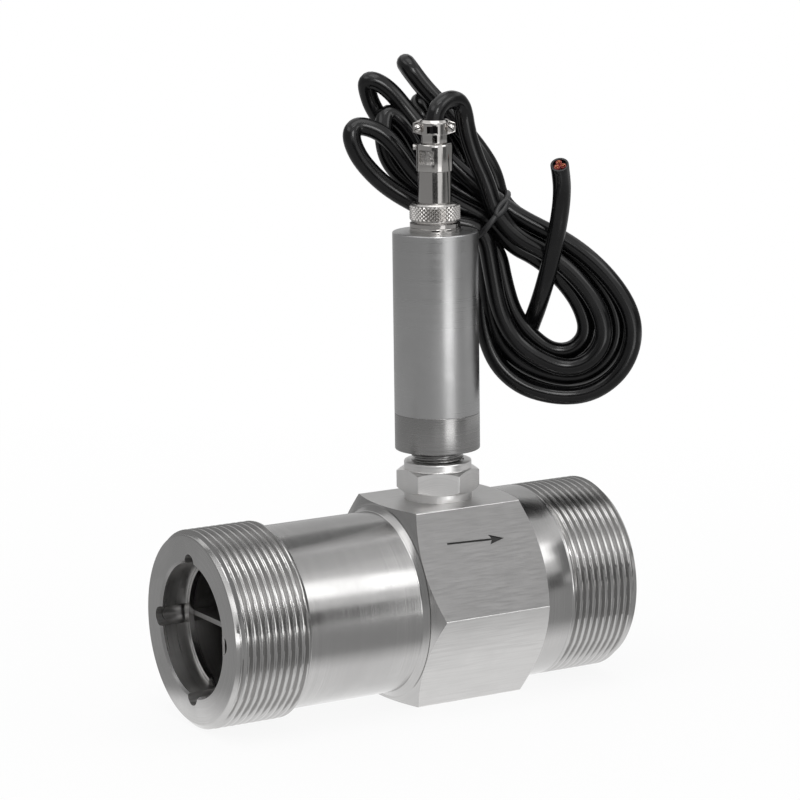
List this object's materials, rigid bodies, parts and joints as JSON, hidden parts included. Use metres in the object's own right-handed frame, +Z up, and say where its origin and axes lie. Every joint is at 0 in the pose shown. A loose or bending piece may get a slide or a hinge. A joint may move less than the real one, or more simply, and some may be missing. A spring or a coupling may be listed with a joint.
{
  "type": "turbine flow meter",
  "caption": "Threaded turbine flow meter: hexagon steel body with a helical rotor inside, a magnetic pickup, a cylindrical amplifier housing and a plugged signal cable tied in a hank.",
  "frame": {"origin": "on the flat of the hexagon that the meter stands on, below the middle of the body", "axes": "+X along the flow, from inlet to outlet; +Z up the pickup and its housing; +Y to the left of the flow"},
  "size_m": [0.1578, 0.0769, 0.1936],
  "materials": {
    "turned_steel": "turned, bright",
    "insert_steel": "machined, dull",
    "rotor_steel": "machined",
    "hard_metal": "ground",
    "core_iron": "bare",
    "winding_copper": "bright wire",
    "moulded_black": "moulded",
    "seal_rubber": "smooth",
    "base_steel": "turned",
    "satin_aluminium": "satin, fine-turned",
    "board": "lacquered",
    "component": "moulded",
    "nickel": "nickel plated",
    "contact_brass": "plated",
    "cable_jacket": "smooth, glossy"
  },
  "bodies": {
    "meter": {"meter_body": "turned_steel", "inlet_straightener": "insert_steel", "outlet_straightener": "insert_steel", "inlet_retaining_ring": "insert_steel", "outlet_retaining_ring": "insert_steel", "inlet_bearing": "hard_metal", "outlet_bearing": "hard_metal", "inlet_thrust_disc": "hard_metal", "outlet_thrust_disc": "hard_metal", "boss_ring": "turned_steel", "lock_nut": "turned_steel", "pickup_stem": "turned_steel", "coil_bobbin": "moulded_black", "pickup_coil": "winding_copper", "pole_piece": "core_iron", "pickup_magnet": "core_iron", "stem_potting": "moulded_black", "housing_base": "base_steel", "housing_seal": "seal_rubber", "housing_tube": "satin_aluminium", "amplifier_board": "board", "board_components": "component", "socket_shell": "nickel", "socket_ring_nut": "nickel", "socket_nut": "nickel", "socket_insert": "moulded_black", "socket_pins": "contact_brass"},
    "turbine": {"rotor": "rotor_steel", "rotor_shaft": "hard_metal"},
    "plug": {"plug_barrel": "nickel", "plug_insert": "moulded_black", "plug_contacts": "contact_brass", "plug_sleeve": "nickel", "sleeve_screw": "nickel", "clamp_body": "nickel", "clamp_saddle": "nickel", "clamp_screws": "nickel", "cable_lead": "cable_jacket", "cable_tail": "cable_jacket", "cable_hank": "cable_jacket", "cable_tie": "cable_jacket", "cable_cores": "winding_copper"},
    "plug_ring": {"coupling_ring": "nickel"}
  },
  "joints": [
    {"name": "rotor_spin", "type": "hinge", "parent": "meter", "child": "turbine", "pos_m": [0.0158, 0, 0.03], "axis": [1, 0, 0], "continuous": true},
    {"name": "plug_lift", "type": "slide", "parent": "meter", "child": "plug", "axis": [0, 0, 1], "range_m": [0, 0.004]},
    {"name": "ring_turn", "type": "hinge", "parent": "plug", "child": "plug_ring", "pos_m": [0.0158, 0, 0.145], "axis": [0, 0, 1], "range_deg": [0, 1440]}
  ],
  "couplings": [
    {"joint": "ring_turn", "follows": "plug_lift", "rad_per_m": 6283.2}
  ]
}
